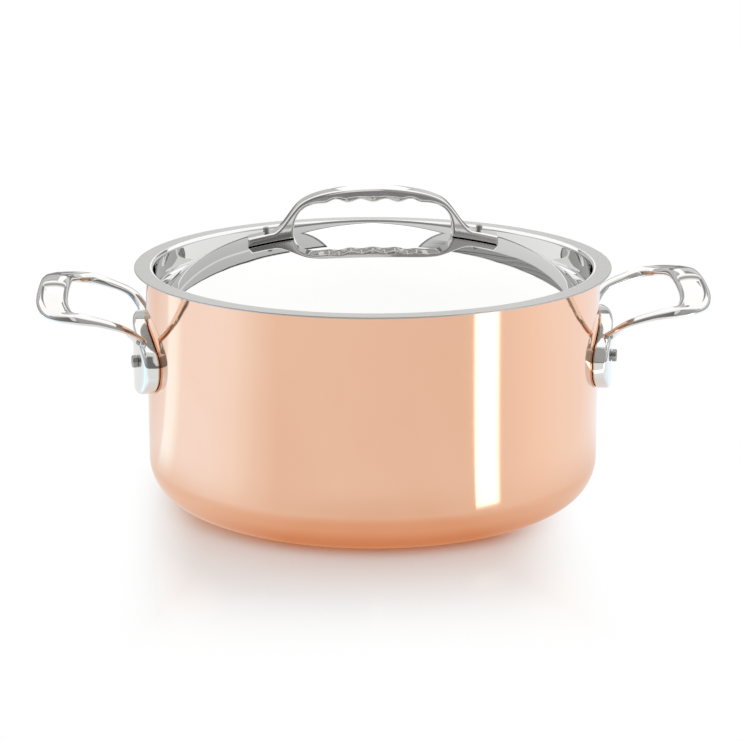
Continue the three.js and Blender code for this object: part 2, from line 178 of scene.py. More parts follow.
def metal(name, colour, worn, smooth, dull, pitch, ring_height, size):
    """A polished metal: smears change its tone and gloss, and the wheel's rings its gloss and relief."""
    material = bpy.data.materials.new(name)
    material.use_nodes = True
    tree = material.node_tree
    surface = tree.nodes["Principled BSDF"].inputs
    surface["Metallic"].default_value = 1
    marks = place(tree, "ShaderNodeGroup", node_tree=handling)
    marks.inputs["Size"].default_value = size
    lines = place(tree, "ShaderNodeGroup", node_tree=wheel_rings)
    lines.inputs["Pitch"].default_value = pitch
    tone = place(tree, "ShaderNodeMix", {"Factor": marks.outputs["Smear"], 6: colour, 7: worn}, data_type="RGBA")
    tree.links.new(tone.outputs[2], surface["Base Color"])
    uneven = maths(tree, "ADD", marks.outputs["Smear"], lines.outputs["Rings"])
    specks = maths(tree, "MULTIPLY", marks.outputs["Speck"], (dull - smooth) / 2)
    gloss = maths(tree, "ADD", spread(tree, uneven, *uneven_levels, smooth, dull), specks)
    tree.links.new(gloss, surface["Roughness"])
    relief = place(tree, "ShaderNodeBump", {"Distance": ring_height, "Height": lines.outputs["Rings"]})
    tree.links.new(relief.outputs[0], surface["Normal"])
    return material


def pot_face(depth):
    """One face of the pot from the middle of its base to its rim, at a depth in from the outside."""
    radius = pot_radius - depth
    corner = base_corner - depth
    floor = [(radius * share, depth) for share in floor_shares] + [(radius - corner - flat_start, depth)]
    wall = [(radius, height) for height in (base_corner + flat_start, *behind_pads)]
    return floor + bend(radius - corner, depth + corner, corner, -90, 0, corner_steps) + wall


def wear(piece, material, body, node):
    """Gives a piece its material and its place in the assembly."""
    piece.data.materials.clear()
    piece.data.materials.append(material)
    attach(piece, body)
    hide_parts(node)


outer = pot_face(0)
inner = pot_face(copper_thickness)
rim = [(pot_radius, pot_height - rim_ease - flat_start)]
rim += bend(pot_radius - rim_ease, pot_height - rim_ease, rim_ease, 0, 90, rim_steps)
rim.append((pot_radius - copper_thickness, pot_height))
shell = show("shell", turned(outer + rim + inner[::-1], round_steps))
copper = metal("polished copper", copper_colour, worn_copper,
               smooth=0.04, dull=0.10, pitch=2600.0, ring_height=0.000002, size=9.0)


# Steel lining: the 0.2 mm stainless face that is bonded to the copper, and that the food touches. It is
# spun with an abrasive pad, so it has close satin rings.
steel_thickness = 0.0002
steel_colour = (0.70, 0.70, 0.68, 1)
worn_steel = (0.62, 0.62, 0.60, 1)

outer = pot_face(copper_thickness)
inner = pot_face(copper_thickness + steel_thickness)
edge = [(pot_radius - copper_thickness, pot_height),
        (pot_radius - copper_thickness - steel_thickness, pot_height)]
lining = show("lining", turned(outer + edge + inner[::-1], round_steps))
satin = metal("satin steel", steel_colour, worn_steel,
              smooth=0.2, dull=0.36, pitch=4200.0, ring_height=0.000006, size=12.0)


# Side handles: one polished stainless casting each, a thick curved pad that lies against the wall and two
# slim arms, flat underneath, that splay from its top corners to a broad arched grip. A dish is sunk in the grip for
# each thumb, with a flat land between them; the wheel leaves its sides duller, and they are painted dark as shade.
# Two rivets hold each pad.
seat_gap = 0.0003
pad_side = 0.0450
pad_waist = 0.0805
pad_foot = 0.0608
pad_top = 0.100
pad_thickness = 0.0072
pad_edge = 0.0020
pad_back_edge = 0.0009
foot_squareness = 2.8
pad_points = 112
pad_back_shares = (0.65, 0.3)
pad_face_shares = (0.85, 0.65, 0.45, 0.25)
edge_steps = 8
root_radius = 0.1265
loop_root = (0.0310, 0.0350, 0.0072, 0.0042)
loop_line = [
    (0.0040, 0.0385, 0.0298, 0.0066, 0.0036),
    (0.0100, 0.0445, 0.0240, 0.0070, 0.0037),
    (0.0220, 0.0478, 0.0192, 0.0084, 0.0045),
    (0.0335, 0.0500, 0.0164, 0.0104, 0.0056),
    (0.0425, 0.0460, 0.0148, 0.0150, 0.0060),
    (0.0475, 0.0330, 0.0124, 0.0165, 0.0062),
]
loop_middle = (0.0485, 0.0, 0.0082, 0.0165, 0.0062)
section_power = 0.85
belly = 0.5
dish_depth = 0.0018
dish_land = (0.0098, 0.0114)
dish_fade = (0.0310, 0.0430)
dish_rim = (-0.68, -0.54)
dish_inner_rim = (0.70, 0.84)
rivet_aside = 0.028
rivet_height = 0.0809
rivet_shank = 0.0022
wall_drill = (0.1, 0.15)
drill_sides = 32
casting_colour = (0.79, 0.783, 0.765, 1)
worn_casting = (0.75, 0.743, 0.725, 1)
# Painted shade: the dark colour on the steep sides of the grips' dishes
dish_shade_colour = (0.16, 0.158, 0.15, 1)
corner_brushing = 0.25
same_spot = 0.00001


def inset(outline, depths):
    """An anticlockwise outline drawn in square to its sides, each point by its own depth."""
    drawn = []
    for i, point in enumerate(outline):
        before = (point - outline[i - 1]).normalized()
        after = (outline[(i + 1) % len(outline)] - point).normalized()
        inward = Vector((-before.y - after.y, before.x + after.x))
        drawn.append(point + inward * depths[i] / (1 + before.dot(after)))
    return drawn


def bridge_rings(bm, rings):
    """Faces between rings that follow one another. A ring of one point closes an end."""
    for ring, after in zip(rings, rings[1:]):
        count = max(len(ring), len(after))
        for i in range(count):
            j = (i + 1) % count
            corners = [ring[i % len(ring)], ring[j % len(ring)], after[j % len(after)], after[i % len(after)]]
            bm.faces.new(dict.fromkeys(corners))


def pad_mesh():
    """A pad on the +X side: rings of its outline, drawn in over a rounded edge and then to its middle."""
    outline = []
    for i in range(pad_points):
        angle = math.tau * i / pad_points
        out, up = math.cos(angle), math.sin(angle)
        if up > 0:
            up *= pad_top - pad_waist
        else:
            out = math.copysign(abs(out) ** (2 / foot_squareness), out)
            up = -(pad_waist - pad_foot) * abs(up) ** (2 / foot_squareness)
        outline.append(Vector((pad_side * out, pad_waist + up)))
    middle = Vector((0, (pad_foot + pad_top) / 2))
    back = pot_radius + seat_gap
    face = back + pad_thickness
    rows = [(pad_back_edge, back), (0, back + pad_back_edge)]
    for i in range(edge_steps + 1):
        angle = math.pi / 2 * i / edge_steps
        rows.append((pad_edge * (1 - math.cos(angle)), face - pad_edge * (1 - math.sin(angle))))
    drawn = [(inset(outline, [depth] * pad_points), radius) for depth, radius in rows]
    for share in pad_back_shares:
        drawn.insert(0, ([middle.lerp(p, share) for p in inset(outline, [pad_back_edge] * pad_points)], back))
    for share in pad_face_shares:
        drawn.append(([middle.lerp(p, share) for p in inset(outline, [pad_edge] * pad_points)], face))
    drawn.insert(0, ([middle], back))
    drawn.append(([middle], face))
    bm = bmesh.new()
    rings = []
    for points, radius in drawn:
        rings.append([bm.verts.new((math.sqrt(radius ** 2 - p.x ** 2), p.x, p.y)) for p in points])
    bridge_rings(bm, rings)
    return bm


def along(stations, share):
    """The smooth line through the stations, each a place and a section size, eased by their distances."""
    knots = [0]
    for a, b in zip(stations, stations[1:]):
        knots.append(knots[-1] + math.sqrt((b.to_3d() - a.to_3d()).length))
    slopes = [(b - a) / (v - u) for a, b, u, v in zip(stations, stations[1:], knots, knots[1:])]
    eased = [slopes[0]]
    for k in range(1, len(slopes)):
        across = (stations[k + 1] - stations[k - 1]) / (knots[k + 1] - knots[k - 1])
        eased.append(slopes[k - 1] + slopes[k] - across)
    eased.append(slopes[-1])
    at = share * knots[-1]
    k = max(i for i in range(len(slopes)) if knots[i] <= at)
    width = knots[k + 1] - knots[k]
    t = (at - knots[k]) / width
    return (stations[k] * (2 * t ** 3 - 3 * t ** 2 + 1) + eased[k] * width * (t ** 3 - 2 * t ** 2 + t)
            + stations[k + 1] * (3 * t ** 2 - 2 * t ** 3) + eased[k + 1] * width * (t ** 3 - t ** 2))


def slope(value, low, high):
    """How far a value is from low to high, as a share."""
    return min(max((value - low) / (high - low), 0), 1)


def ease(value, low, high):
    """The same share with a soft start and end."""
    share = slope(value, low, high)
    return share * share * (3 - 2 * share)


def loop_mesh(steps=180, sides=120):
    """The arms and grip on the +X side, a softly squared section with a flat belly swept along their middle line.
    It also lists each point with its share of a dish's side, which is one halfway down that side."""
    aside, below, wide, tall = loop_root
    half = [Vector((math.sqrt(root_radius ** 2 - aside ** 2), aside, pot_height - below, wide, tall))]
    for out, aside, below, wide, tall in loop_line + [loop_middle]:
        half.append(Vector((pot_radius + out, aside, pot_height - below, wide, tall)))
    stations = half + [Vector((s[0], -s[1], *s[2:])) for s in half[-2::-1]]
    line = [along(stations, i / steps) for i in range(steps + 1)]
    bm = bmesh.new()
    rings = []
    corners = []
    for i, station in enumerate(line):
        ahead = (line[min(i + 1, steps)].to_3d() - line[max(i - 1, 0)].to_3d()).normalized()
        across = Vector((ahead.y, -ahead.x, 0)).normalized()
        up = across.cross(ahead)
        past_land = slope(abs(station.y), *dish_land)
        fade = ease(station.x - pot_radius, *dish_fade)
        ring = []
        for j in range(sides):
            angle = math.tau * j / sides
            x = math.copysign(abs(math.cos(angle)) ** section_power, math.cos(angle))
            y = math.copysign(abs(math.sin(angle)) ** section_power, math.sin(angle))
            past_rim = slope(x, *dish_rim)
            past_inner_rim = 1 - slope(x, *dish_inner_rim)
            deep = fade * past_land * past_rim * past_inner_rim if y > 0 else 0
            y = y * (1 + math.copysign(belly, y)) - belly
            up_by = y * station[4] / 2 - dish_depth * deep
            ring.append(bm.verts.new(station.to_3d() + across * x * station[3] / 2 + up * up_by))
            corner = 4 * max(deep * (1 - past) for past in (past_land, past_rim, past_inner_rim))
            corners.append((ring[-1].co.copy(), corner))
        rings.append(ring)
    bridge_rings(bm, rings)
    bm.faces.new(rings[0])
    bm.faces.new(rings[-1])
    return bm, corners


def mark_corners(piece, corners):
    """Marks the sides of the dishes on a finished casting, for its material."""
    near = KDTree(len(corners))
    for i, (spot, corner) in enumerate(corners):
        near.insert(spot, i)
    near.balance()
    marks = piece.data.attributes.new("corner", "FLOAT", "POINT").data
    for mark, vertex in zip(marks, piece.data.vertices):
        spot, i, gap = near.find(vertex.co)
        mark.value = corners[i][1] if gap < same_spot else 0


def rivet_place(aside):
    """The frame of a rivet on the +X side, with +Z out of the wall and its origin on the pot's axis."""
    angle = aside / (pot_radius + seat_gap + pad_thickness)
    return Matrix.Translation((0, 0, rivet_height)) @ Matrix.Rotation(angle, 4, "Z") @ Matrix.Rotation(
        math.pi / 2, 4, "Y")


def drill(radius, start, end):
    """A round cutter along +Z."""
    return turned([(0, start), (radius, start), (radius, end), (0, end)], drill_sides)


def drill_wall(piece, turn):
    """Drills a piece for the two rivets of one handle."""
    for aside in (-rivet_aside, rivet_aside):
        bit = drill(rivet_shank + seat_gap / 2, *wall_drill)
        bmesh.ops.transform(bit, matrix=Matrix.Rotation(turn, 4, "Z") @ rivet_place(aside), verts=bit.verts)
        reshape(piece, show("bit", bit), "DIFFERENCE")


def duller_and_shade(material, where, colour, roughness):
    """Mixes a duller finish and a colour into a polished metal, where a mask is one; on the grips' dishes that colour
    is painted shade.
    """
    tree = material.node_tree
    surface = tree.nodes["Principled BSDF"].inputs
    polished = surface["Base Color"].links[0].from_socket
    tone = place(tree, "ShaderNodeMix", {"Factor": where, 6: polished, 7: colour}, data_type="RGBA")
    gloss = maths(tree, "MULTIPLY_ADD", where, roughness, surface["Roughness"].links[0].from_socket)
    tree.links.new(tone.outputs[2], surface["Base Color"])
    tree.links.new(gloss, surface["Roughness"])


cast_steel = metal("polished casting", casting_colour, worn_casting,
                   smooth=0.03, dull=0.09, pitch=900.0, ring_height=0.000002, size=26.0)
in_corner = place(cast_steel.node_tree, "ShaderNodeAttribute", attribute_name="corner").outputs["Fac"]
# The dishes' sides get a rougher finish and a painted dark shade
duller_and_shade(cast_steel, in_corner, dish_shade_colour, corner_brushing)
for side, turn in (("left", math.pi), ("right", 0)):
    pad_middle = pot_radius + seat_gap + pad_thickness / 2
    plug = turned([(0, 0), (pad_middle, 0), (pad_middle, pot_height), (0, pot_height)], round_steps)
    bm, corners = loop_mesh()
    loop = show("loop", bm)
    reshape(loop, show("plug", plug), "DIFFERENCE")
    handle = show(f"{side}_casting", pad_mesh())
    reshape(handle, loop, "UNION")
    drill_wall(handle, 0)
    mark_corners(handle, corners)
    handle.data.transform(Matrix.Rotation(turn, 4, "Z"))
    wear(handle, cast_steel, "pot", f"{side}_handle")
    for layer in (shell, lining):
        drill_wall(layer, turn)

wear(shell, copper, "pot", "copper_shell")
wear(lining, satin, "pot", "steel_lining")


# Handle rivets: turned stainless pins through the pad and the wall. The head outside is flat with a
# chamfer, and the button inside the pot is pressed to a low dome.
rivet_head = (0.0033, 0.0024)
rivet_button = (0.0045, 0.0016)
head_chamfer = 0.0007
head_round = (15, 90)
head_steps = 5
button_angles = range(0, 91, 10)
rivet_sides = 40
rivet_colour = (0.42, 0.41, 0.385, 1)
worn_rivet = (0.30, 0.29, 0.27, 1)


def rivet_mesh(shank, stack, head, button):
    """A rivet along +Z: its shank starts at z = 0, with the button below it and the head above."""
    outline = [(button[0] * math.sin(math.radians(a)), -button[1] * math.cos(math.radians(a)))
               for a in button_angles]
    top = stack + head[1]
    outline += [(shank, 0), (shank, stack), (head[0], stack), (head[0], top - head_chamfer)]
    outline += bend(head[0] - head_chamfer, top - head_chamfer, head_chamfer, *head_round, head_steps)
    outline += [(head[0] / 2, top), (0, top)]
    return turned(outline, rivet_sides)


rivet_steel = metal("turned steel", rivet_colour, worn_rivet,
                    smooth=0.2, dull=0.4, pitch=6000.0, ring_height=0.00001, size=60.0)
bore = pot_radius - copper_thickness - steel_thickness
wall_stack = pot_radius + seat_gap + pad_thickness - bore + 3 * seat_gap
for side, turn, ends in (("left", math.pi, ("rear", "front")), ("right", 0, ("front", "rear"))):
    for end, aside in zip(ends, (-rivet_aside, rivet_aside)):
        pin = rivet_mesh(rivet_shank, wall_stack, rivet_head, rivet_button)
        seat = rivet_place(aside) @ Matrix.Translation((0, 0, bore - 2 * seat_gap))
        bmesh.ops.transform(pin, matrix=Matrix.Rotation(turn, 4, "Z") @ seat, verts=pin.verts)
        rivet = show(f"{side}_{end}_pin", pin)
        wear(rivet, rivet_steel, "pot", f"{side}_{end}_rivet")


# Lid: one pressed stainless sheet, 1 mm thick and mirror-polished on the wheel. Its brushed flange rests on the
# rim, a well steps down just inside the bore, and a low dome with a rounded shoulder rises from it.
lid_thickness = 0.001
lid_radius = 0.128
lid_clearance = 0.0003
lid_bend = 0.0022
well_fillet = 0.003
lid_rise = 0.0178
dome_radius = 0.290
shoulder_radius = 0.083
shoulder_slope = 45
flange_ease = 0.00035
lid_steps = 288
dome_steps = 24
shoulder_steps = 30
fillet_steps = 16
lid_bend_steps = 12
lid_rivet_reach = 0.056
lid_rivet_shank = 0.0011
dome_drill = (-0.012, 0.012)
sheet_colour = (0.78, 0.78, 0.77, 1)
worn_sheet = (0.755, 0.755, 0.745, 1)
flange_colour = (0.56, 0.557, 0.539, 1)
flange_brushing = 0.40
flange_fade = 0.0005

lid_top = pot_height + lid_thickness + lid_rise
well_wall = bore - lid_clearance - lid_bend
well_centre = well_wall - well_fillet
dome_angle = math.degrees(math.asin(
    (well_centre - (shoulder_radius + well_fillet) * math.sin(math.radians(shoulder_slope)))
    / (dome_radius - shoulder_radius)))
shoulder_centre = (dome_radius - shoulder_radius) * math.sin(math.radians(dome_angle))
shoulder_height = lid_top - dome_radius + (dome_radius - shoulder_radius) * math.cos(math.radians(dome_angle))
well_height = shoulder_height + (shoulder_radius + well_fillet) * math.cos(math.radians(shoulder_slope))


def lid_height(radius):
    """Height of the lid's upper face on its dome or shoulder."""
    if radius < dome_radius * math.sin(math.radians(dome_angle)):
        return lid_top - dome_radius + math.sqrt(dome_radius ** 2 - radius ** 2)
    return shoulder_height + math.sqrt(shoulder_radius ** 2 - (radius - shoulder_centre) ** 2)


def lid_face(depth):
    """One face of the lid from its axis to its flange, at a depth below the upper face."""
    flange = pot_height + lid_thickness
    return [
        *bend(0, lid_top - dome_radius, dome_radius - depth, 90, 90 - dome_angle, dome_steps),
        *bend(shoulder_centre, shoulder_height, shoulder_radius - depth,
              90 - dome_angle, 90 - shoulder_slope, shoulder_steps)[1:],
        *bend(well_centre, well_height, well_fillet + depth, -90 - shoulder_slope, 0, fillet_steps)[1:],
        (well_wall + depth, well_height + flat_start),
        (well_wall + depth, flange - lid_bend - flat_start),
        *bend(well_wall + lid_bend, flange - lid_bend, lid_bend - depth, 180, 90, lid_bend_steps),
        (well_wall + lid_bend + flat_start, flange - depth),
        (lid_radius - 2 * flange_ease, flange - depth),
    ]


edge = bend(lid_radius - flange_ease, pot_height + flange_ease, flange_ease, -90, 0, rim_steps)
edge += bend(lid_radius - flange_ease, pot_height + lid_thickness - flange_ease, flange_ease, 0, 90, rim_steps)
lid = show("lid_sheet", turned(lid_face(lid_thickness) + edge + lid_face(0)[::-1], lid_steps))
lid_rivet_lean = math.asin(lid_rivet_reach / dome_radius)


def lid_rivet_place(side):
    """The frame of a lid rivet, with its origin on the lid's upper face and +Z square to the dome."""
    foot = Matrix.Translation((side * lid_rivet_reach, 0, lid_height(lid_rivet_reach)))
    return foot @ Matrix.Rotation(side * lid_rivet_lean, 4, "Y")


def drill_dome(piece):
    """Drills a piece for both rivets of the lid handle."""
    for side in (-1, 1):
        bit = drill(lid_rivet_shank + seat_gap / 2, *dome_drill)
        bmesh.ops.transform(bit, matrix=lid_rivet_place(side), verts=bit.verts)
        reshape(piece, show("bit", bit), "DIFFERENCE")


drill_dome(lid)
mirror_steel = metal("mirror-polished sheet", sheet_colour, worn_sheet,
                     smooth=0.015, dull=0.05, pitch=1600.0, ring_height=0.0000008, size=10.0)
tree = mirror_steel.node_tree
spot = place(tree, "ShaderNodeTexCoord").outputs["Object"]
flat = place(tree, "ShaderNodeVectorMath", {0: spot, 1: (1, 1, 0)}, operation="MULTIPLY").outputs["Vector"]
reach = place(tree, "ShaderNodeVectorMath", {0: flat}, operation="LENGTH").outputs["Value"]
flange_start = well_wall + lid_bend
on_flange = spread(tree, reach, flange_start - flange_fade, flange_start, 0.0, 1.0)
duller_and_shade(mirror_steel, on_flange, flange_colour, flange_brushing)
wear(lid, mirror_steel, "lid", "lid")


# Lid handle: one polished stainless casting, a bridge that stands on two feet and has a wavy underside for
# the fingers. Its edges are rounded by hand on the wheel, and each foot follows the dome.
bridge_rise = 0.0238
bridge_width = 0.013
top_edge = 0.0018
finger_edge = 0.0016
leg_edge = 0.0012
foot_edge = 0.0020
sole_edge = (0.0009, 0.0010)
bar_thickness = 0.008
bar_flat = 0.018
corner_reach = 0.040
corner_drop = 0.009
corner_ease = 0.0058
leg_inside = 0.0425
leg_inside_drop = 0.016
heel_reach = 0.055
heel_ease = 0.0055
foot_reach = 0.067
foot_thickness = 0.0048
waves = 3
wave_pitch = 0.0132
wave_depth = 0.002
curve_steps = 24
foot_steps = 6
sole_steps = 12
half_wave_steps = 12
bridge_crease = 32

bridge_top = lid_top + bridge_rise


def bridge_half():
    """The outline of the bridge's right half as reach and height, from its top round, with its edge radii."""
    under = bridge_top - bar_thickness
    corner = bridge_top - corner_drop
    heel = lid_height(heel_reach) + foot_thickness
    wavy = waves * wave_pitch / 2
    bar = [Vector((0, bridge_top)), Vector((bar_flat, bridge_top)),
           Vector((corner_reach - corner_ease, corner + corner_ease)), Vector((corner_reach, corner))]
    leg = [Vector((corner_reach, corner)), Vector((corner_reach + corner_ease, corner - corner_ease)),
           Vector((heel_reach - heel_ease, heel)), Vector((heel_reach, heel))]
    upper = [p.to_2d() for p in interpolate_bezier(*bar, curve_steps)]
    upper += [p.to_2d() for p in interpolate_bezier(*leg, curve_steps)][1:]
    for i in range(1, foot_steps + 1):
        reach = heel_reach + (foot_reach - heel_reach) * i / foot_steps
        upper.append(Vector((reach, lid_height(reach) + foot_thickness)))
    sole = []
    for i in range(sole_steps + 1):
        reach = foot_reach - (foot_reach - leg_inside) * i / sole_steps
        sole.append(Vector((reach, lid_height(reach) + seat_gap)))
    inside = [Vector((leg_inside, under - leg_inside_drop)), Vector((leg_inside, under)),
              Vector((wavy + wave_pitch / 2, under))]
    fingers = []
    for i in range(curve_steps + 1):
        t = i / curve_steps
        fingers.append(inside[0] * (1 - t) ** 2 + inside[1] * 2 * t * (1 - t) + inside[2] * t ** 2)
    for i in range(1, (waves + 1) * half_wave_steps + 1):
        reach = wavy + wave_pitch / 2 - i * wave_pitch / (2 * half_wave_steps)
        swell = (1 + math.cos(math.tau * (reach - wavy) / wave_pitch)) / 2
        fingers.append(Vector((reach, under + wave_depth * swell)))
    edges = [top_edge + (leg_edge - top_edge) * ease(p.x, bar_flat, corner_reach - corner_ease) for p in upper]
    edges = [e + (foot_edge - leg_edge) * ease(p.x, heel_reach - heel_ease, heel_reach + heel_ease)
             for e, p in zip(edges, upper)]
    edges += [sole_edge[0] + (sole_edge[1] - sole_edge[0]) * ease(p.x, leg_inside, heel_reach) for p in sole]
    for p in fingers:
        wave_edge = finger_edge + under + wave_depth - p.y
        edges.append(wave_edge + (leg_edge - wave_edge) * ease(p.x, wavy - wave_pitch, wavy + wave_pitch / 2))
    return upper + sole + fingers, edges


half, edges = bridge_half()
outline = ([Vector((-p.x, p.y)) for p in half] + half[-2:0:-1])
edges = edges + edges[-2:0:-1]
bm = bmesh.new()
rings = []
for face in (-1, 1):
    rows = [(1, 0, flat_start)]
    for i in range(edge_steps + 1):
        angle = i * math.pi / (2 * edge_steps)
        rows.append((1 - math.sin(angle), 1 - math.cos(angle), 0))
    for drawn_in, rounded, past in rows[::-face]:
        ring = []
        for point, edge in zip(inset(outline, [edge * drawn_in + past for edge in edges]), edges):
            ring.append(bm.verts.new((point.x, face * (bridge_width / 2 - edge * rounded), point.y)))
        rings.append(ring)
bridge_rings(bm, rings)
bm.faces.new(rings[0])
bm.faces.new(rings[-1])
bridge = show("lid_bridge", bm, bridge_crease)
drill_dome(bridge)
wear(bridge, cast_steel, "lid", "lid_handle")


# Lid rivets: one turned stainless pin through each foot of the bridge, set square to the dome, with a tall
# narrow head above the foot and a low button under the lid.
lid_rivet_head = (0.0017, 0.0024)
lid_rivet_button = (0.0026, 0.0012)
lid_stack = lid_thickness + foot_thickness + 3 * seat_gap
for name, side in (("left", -1), ("right", 1)):
    pin = rivet_mesh(lid_rivet_shank, lid_stack, lid_rivet_head, lid_rivet_button)
    seat = lid_rivet_place(side) @ Matrix.Translation((0, 0, -lid_thickness - seat_gap))
    bmesh.ops.transform(pin, matrix=seat, verts=pin.verts)
    rivet = show(f"lid_{name}_pin", pin)
    wear(rivet, rivet_steel, "lid", f"lid_{name}_rivet")


# Studio floor: a smooth white table. To polished metal it glows with painted light rather than its own shading: a
# painted pool of cool window light, a painted lit strip on the right, painted dimming far out, and painted warm
# bounce and shade close to the copper.
table_size = 7
table_colour = (0.94, 0.94, 0.94, 1)
table_roughness = 0.2
table_shine = 0.35
table_glow_level = 2.0
# Painted dimming: the table's glow falls to a quarter beyond this reach
painted_dim_reach = (0.82, 0.85)
painted_dim_level = 0.25
# Painted highlight: a lit strip on the table to the right, shown only in the metal
painted_strip_level = 4.2
painted_strip_start = (0.188, 0.194)
painted_strip_centre = (0.015, 0.080)
painted_strip_band = (0.132, 0.1345, 0.165, 0.176)
# Painted window light close to the pot is this plain grey
painted_near_grey = (0.47, 0.47, 0.465, 1)
painted_near_reach = (0.145, 0.215)
painted_bounce_reach = (0.108, 0.26)
painted_bounce_sides = (0.05, 0.12)
painted_bounce_shares = (1.0, 0.3)
# Painted warm light bounced from the copper, with painted shade at the pot's base
painted_copper_bounce = [(0, (0.74, 0.385, 0.215)), (0.15, (0.865, 0.635, 0.49)), (0.56, (0.93, 0.88, 0.84)), (0.9, 1.0)]
# The painted window light by turns round a spot in front of the pot's axis, from the back over the left
painted_window_centre = (0, 0.06)
painted_window_light = [
    (0, 0.44), (0.12, 0.46), (0.160, (0.50, 0.58, 0.65)), (0.166, (0.56, 0.76, 0.90)),
    (0.184, (0.56, 0.75, 0.88)), (0.2, (0.52, 0.61, 0.70)), (0.26, (0.52, 0.62, 0.73)),
    (0.296, (0.515, 0.595, 0.67)), (0.327, (0.48, 0.52, 0.55)), (0.36, 0.456), (0.5, 0.456), (0.64, 0.458),
    (0.72, (0.515, 0.53, 0.545)), (0.765, (0.52, 0.57, 0.61)), (0.86, (0.515, 0.56, 0.61)), (1, 0.44)]

bm = bmesh.new()
bmesh.ops.create_grid(bm, x_segments=2, y_segments=2, size=table_size)
table = show("table", bm)
white = bpy.data.materials.new("white table")
white.use_nodes = True
tree = white.node_tree
top = tree.nodes["Principled BSDF"]
top.inputs["Base Color"].default_value = table_colour
top.inputs["Roughness"].default_value = table_roughness
top.inputs["Specular IOR Level"].default_value = table_shine
spot = place(tree, "ShaderNodeTexCoord").outputs["Object"]
axes = place(tree, "ShaderNodeSeparateXYZ", {0: spot}).outputs
distance = place(tree, "ShaderNodeVectorMath", {0: spot}, operation="LENGTH").outputs["Value"]


def seen_from(aside, ahead):
    """The direction of a spot on the table from a point in front of the axis, in turns from the front."""
    right = maths(tree, "SUBTRACT", axes["X"], aside)
    front = maths(tree, "SUBTRACT", -ahead, axes["Y"])
    return maths(tree, "DIVIDE", maths(tree, "ARCTAN2", right, front), math.tau)


def ramp(tree, value, stops, kind="LINEAR"):
    """A colour ramp with its stops as place and grey level or colour."""
    node = place(tree, "ShaderNodeValToRGB", {"Fac": value})
    node.color_ramp.interpolation = kind
    while len(node.color_ramp.elements) < len(stops):
        node.color_ramp.elements.new(0)
    for element, (at, level) in zip(node.color_ramp.elements, stops):
        element.position = at
        element.color = (*level, 1) if isinstance(level, tuple) else (level, level, level, 1)
    return node.outputs["Color"]


def band(tree, value, start, full, fading, end):
    """One inside a band and zero outside it, by where it starts, is full, begins to fade and ends."""
    return maths(tree, "MULTIPLY", spread(tree, value, start, full, 0.0, 1.0, "SMOOTHSTEP"),
                 spread(tree, value, fading, end, 1.0, 0.0, "SMOOTHSTEP"))


# What the metal shows of the table, all painted light: the window light by its direction, the copper's warm bounce
# and shade, the lit strip and the dimming far out
# Painted window light: a cool pool of light by its direction round the pot, plain grey close to it
around = maths(tree, "ADD", seen_from(*painted_window_centre), 0.5)
painted_window_share = spread(tree, distance, *painted_near_reach, 0.0, 1.0, "SMOOTHSTEP")
sides = place(tree, "ShaderNodeMix", {"Factor": painted_window_share, 6: painted_near_grey, 7: ramp(tree, around, painted_window_light)},
              data_type="RGBA").outputs[2]
# Painted warm bounce and shade close to the copper, in front of the pot
painted_bounce = ramp(tree, spread(tree, distance, *painted_bounce_reach, 0.0, 1.0), painted_copper_bounce, "EASE")
# Painted highlight: the lit strip, much brighter than the table round it
strip = maths(tree, "MULTIPLY", band(tree, seen_from(*painted_strip_centre), *painted_strip_band),
              spread(tree, distance, *painted_strip_start, 0.0, 1.0, "SMOOTHSTEP"))
# Painted light: the table glows to the metal at this level, lowered far out by the painted dimming
painted_glow_level = maths(tree, "ADD", table_glow_level, maths(tree, "MULTIPLY", strip, painted_strip_level))
painted_glow_level = maths(tree, "MULTIPLY", painted_glow_level, spread(tree, distance, *painted_dim_reach, 1.0, painted_dim_level, "SMOOTHSTEP"))
in_front = spread(tree, maths(tree, "ABSOLUTE", axes["X"]), *painted_bounce_sides, *painted_bounce_shares)
colour = place(tree, "ShaderNodeMix", {"Factor": in_front, 6: sides, 7: painted_bounce},
               data_type="RGBA", blend_type="MULTIPLY").outputs[2]
painted_table_glow = place(tree, "ShaderNodeEmission", {"Color": colour, "Strength": painted_glow_level}).outputs[0]

# The camera sees the table fade to plain white away from the shadow that the pot lays in front of it
shadow_right = (0.055, 0.11)
shadow_left = (-0.135, -0.09)
shadow_front = (-0.265, -0.125)
shadow_back = (-0.05, 0.06)
beside = maths(tree, "MAXIMUM", spread(tree, axes["X"], *shadow_right, 0.0, 1.0, "SMOOTHSTEP"),
               spread(tree, axes["X"], *shadow_left, 1.0, 0.0, "SMOOTHSTEP"))
ahead = spread(tree, axes["Y"], *shadow_front, 1.0, 0.0, "SMOOTHSTEP")
behind = spread(tree, axes["Y"], *shadow_back, 0.0, 1.0, "SMOOTHSTEP")
clear = maths(tree, "MAXIMUM", maths(tree, "MAXIMUM", beside, ahead), behind)
plain = place(tree, "ShaderNodeEmission", {"Color": (1, 1, 1, 1), "Strength": 1.0}).outputs[0]
rays = place(tree, "ShaderNodeLightPath").outputs
clear = maths(tree, "MULTIPLY", clear, rays["Is Camera Ray"])
shown = place(tree, "ShaderNodeMixShader", {0: clear, 1: top.outputs[0], 2: plain}).outputs[0]
shown = place(tree, "ShaderNodeMixShader", {0: rays["Is Glossy Ray"], 1: shown, 2: painted_table_glow}).outputs[0]
tree.links.new(shown, tree.nodes["Material Output"].inputs["Surface"])
table.data.materials.append(white)


